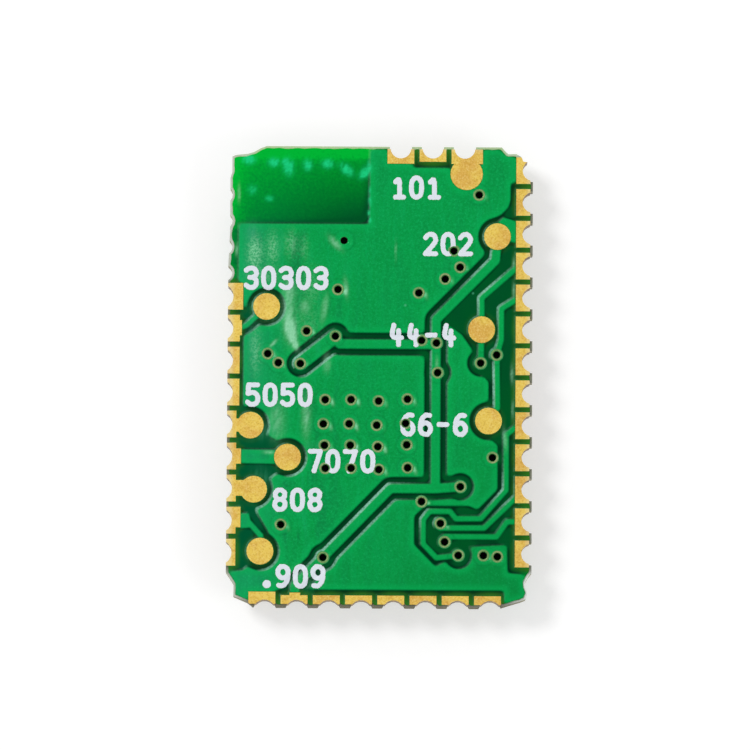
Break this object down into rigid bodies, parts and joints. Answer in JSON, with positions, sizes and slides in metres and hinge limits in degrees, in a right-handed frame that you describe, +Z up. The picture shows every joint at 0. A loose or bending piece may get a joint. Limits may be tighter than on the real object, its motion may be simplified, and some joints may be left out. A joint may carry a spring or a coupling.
{
  "type": "bluetooth module",
  "caption": "Small castellated radio circuit board, pad side up: green etched copper, gold half-hole pads along four edges, round test pads and the chip and antenna underneath.",
  "frame": {"origin": "middle of the bounding box in plan, at the lowest face, on which the chip and the antenna lie", "axes": "+Y along the board towards the antenna end, +X across it to the long row of thirteen pads, +Z up, out of the pad side"},
  "size_m": [0.012, 0.0184, 0.0018],
  "materials": {
    "board_laminate": "matt glass-epoxy laminate, olive-tan on its cut edges",
    "masked_copper": "bright green solder mask over copper, satin",
    "gold_finish": "fine-grained immersion gold",
    "chip_moulding": "matt black moulding compound",
    "tinned_metal": "dull tin and solder",
    "antenna_ceramic": "matt pale ceramic",
    "crystal_ceramic": "matt dark brown ceramic",
    "crystal_lid_metal": "satin plated lid",
    "balun_ceramic": "matt white ceramic",
    "capacitor_ceramic": "matt tan ceramic",
    "coil_ceramic": "matt grey ceramic",
    "resistor_ceramic": "black glaze over white ceramic"
  },
  "bodies": {
    "root": {"laminate_board": "board_laminate", "upper_ground_pour": "masked_copper", "lower_ground_pour": "masked_copper", "supply_trace": "masked_copper", "reset_trace": "masked_copper", "data_trace": "masked_copper", "clock_trace": "masked_copper", "upper_probe_trace": "masked_copper", "lower_probe_trace": "masked_copper", "outer_signal_trace": "masked_copper", "middle_signal_trace": "masked_copper", "inner_signal_trace": "masked_copper", "castellations_right": "gold_finish", "castellations_left": "gold_finish", "castellations_bottom": "gold_finish", "castellations_top": "gold_finish", "test_pads": "gold_finish", "radio_chip_package": "chip_moulding", "radio_chip_leads": "tinned_metal", "radio_chip_ground_pad": "tinned_metal", "antenna_block": "antenna_ceramic", "antenna_terminals": "tinned_metal", "main_crystal_base": "crystal_ceramic", "main_crystal_lid": "crystal_lid_metal", "clock_crystal_base": "crystal_ceramic", "clock_crystal_lid": "crystal_lid_metal", "balun_body": "balun_ceramic", "balun_terminals": "tinned_metal", "capacitor_bodies": "capacitor_ceramic", "capacitor_terminals": "tinned_metal", "coil_bodies": "coil_ceramic", "coil_terminals": "tinned_metal", "resistor_bodies": "resistor_ceramic", "resistor_terminals": "tinned_metal", "component_lands": "tinned_metal", "solder_fillets": "tinned_metal"}
  },
  "joints": []
}
